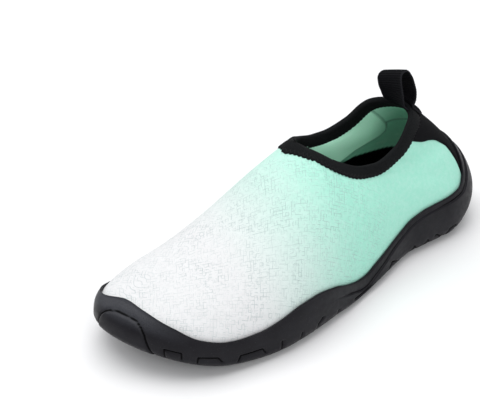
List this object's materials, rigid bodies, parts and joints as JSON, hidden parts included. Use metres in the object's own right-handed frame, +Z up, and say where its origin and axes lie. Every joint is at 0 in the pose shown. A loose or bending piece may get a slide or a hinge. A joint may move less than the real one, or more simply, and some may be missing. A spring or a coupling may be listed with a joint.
{
  "type": "water shoe",
  "caption": "Low slip-on water shoe for the left foot: stretch-knit sock upper, rubber sole moulded up over toe and heel, bound collar and a webbing pull loop",
  "frame": {"origin": "on the floor, on the flat underside of the heel", "axes": "+Z up, +Y from toe to heel, +X towards the outer (lateral) side of this left shoe"},
  "size_m": [0.0983, 0.2707, 0.1075],
  "materials": {
    "rubber": "satin",
    "knit": "matte",
    "insole": "matte",
    "binding": "matte",
    "patch": "matte",
    "webbing": "matte"
  },
  "bodies": {
    "root": {"sole": "rubber", "upper": "knit", "insole": "insole", "collar_binding": "binding", "heel_patch": "patch", "pull_loop": "webbing"}
  },
  "joints": []
}
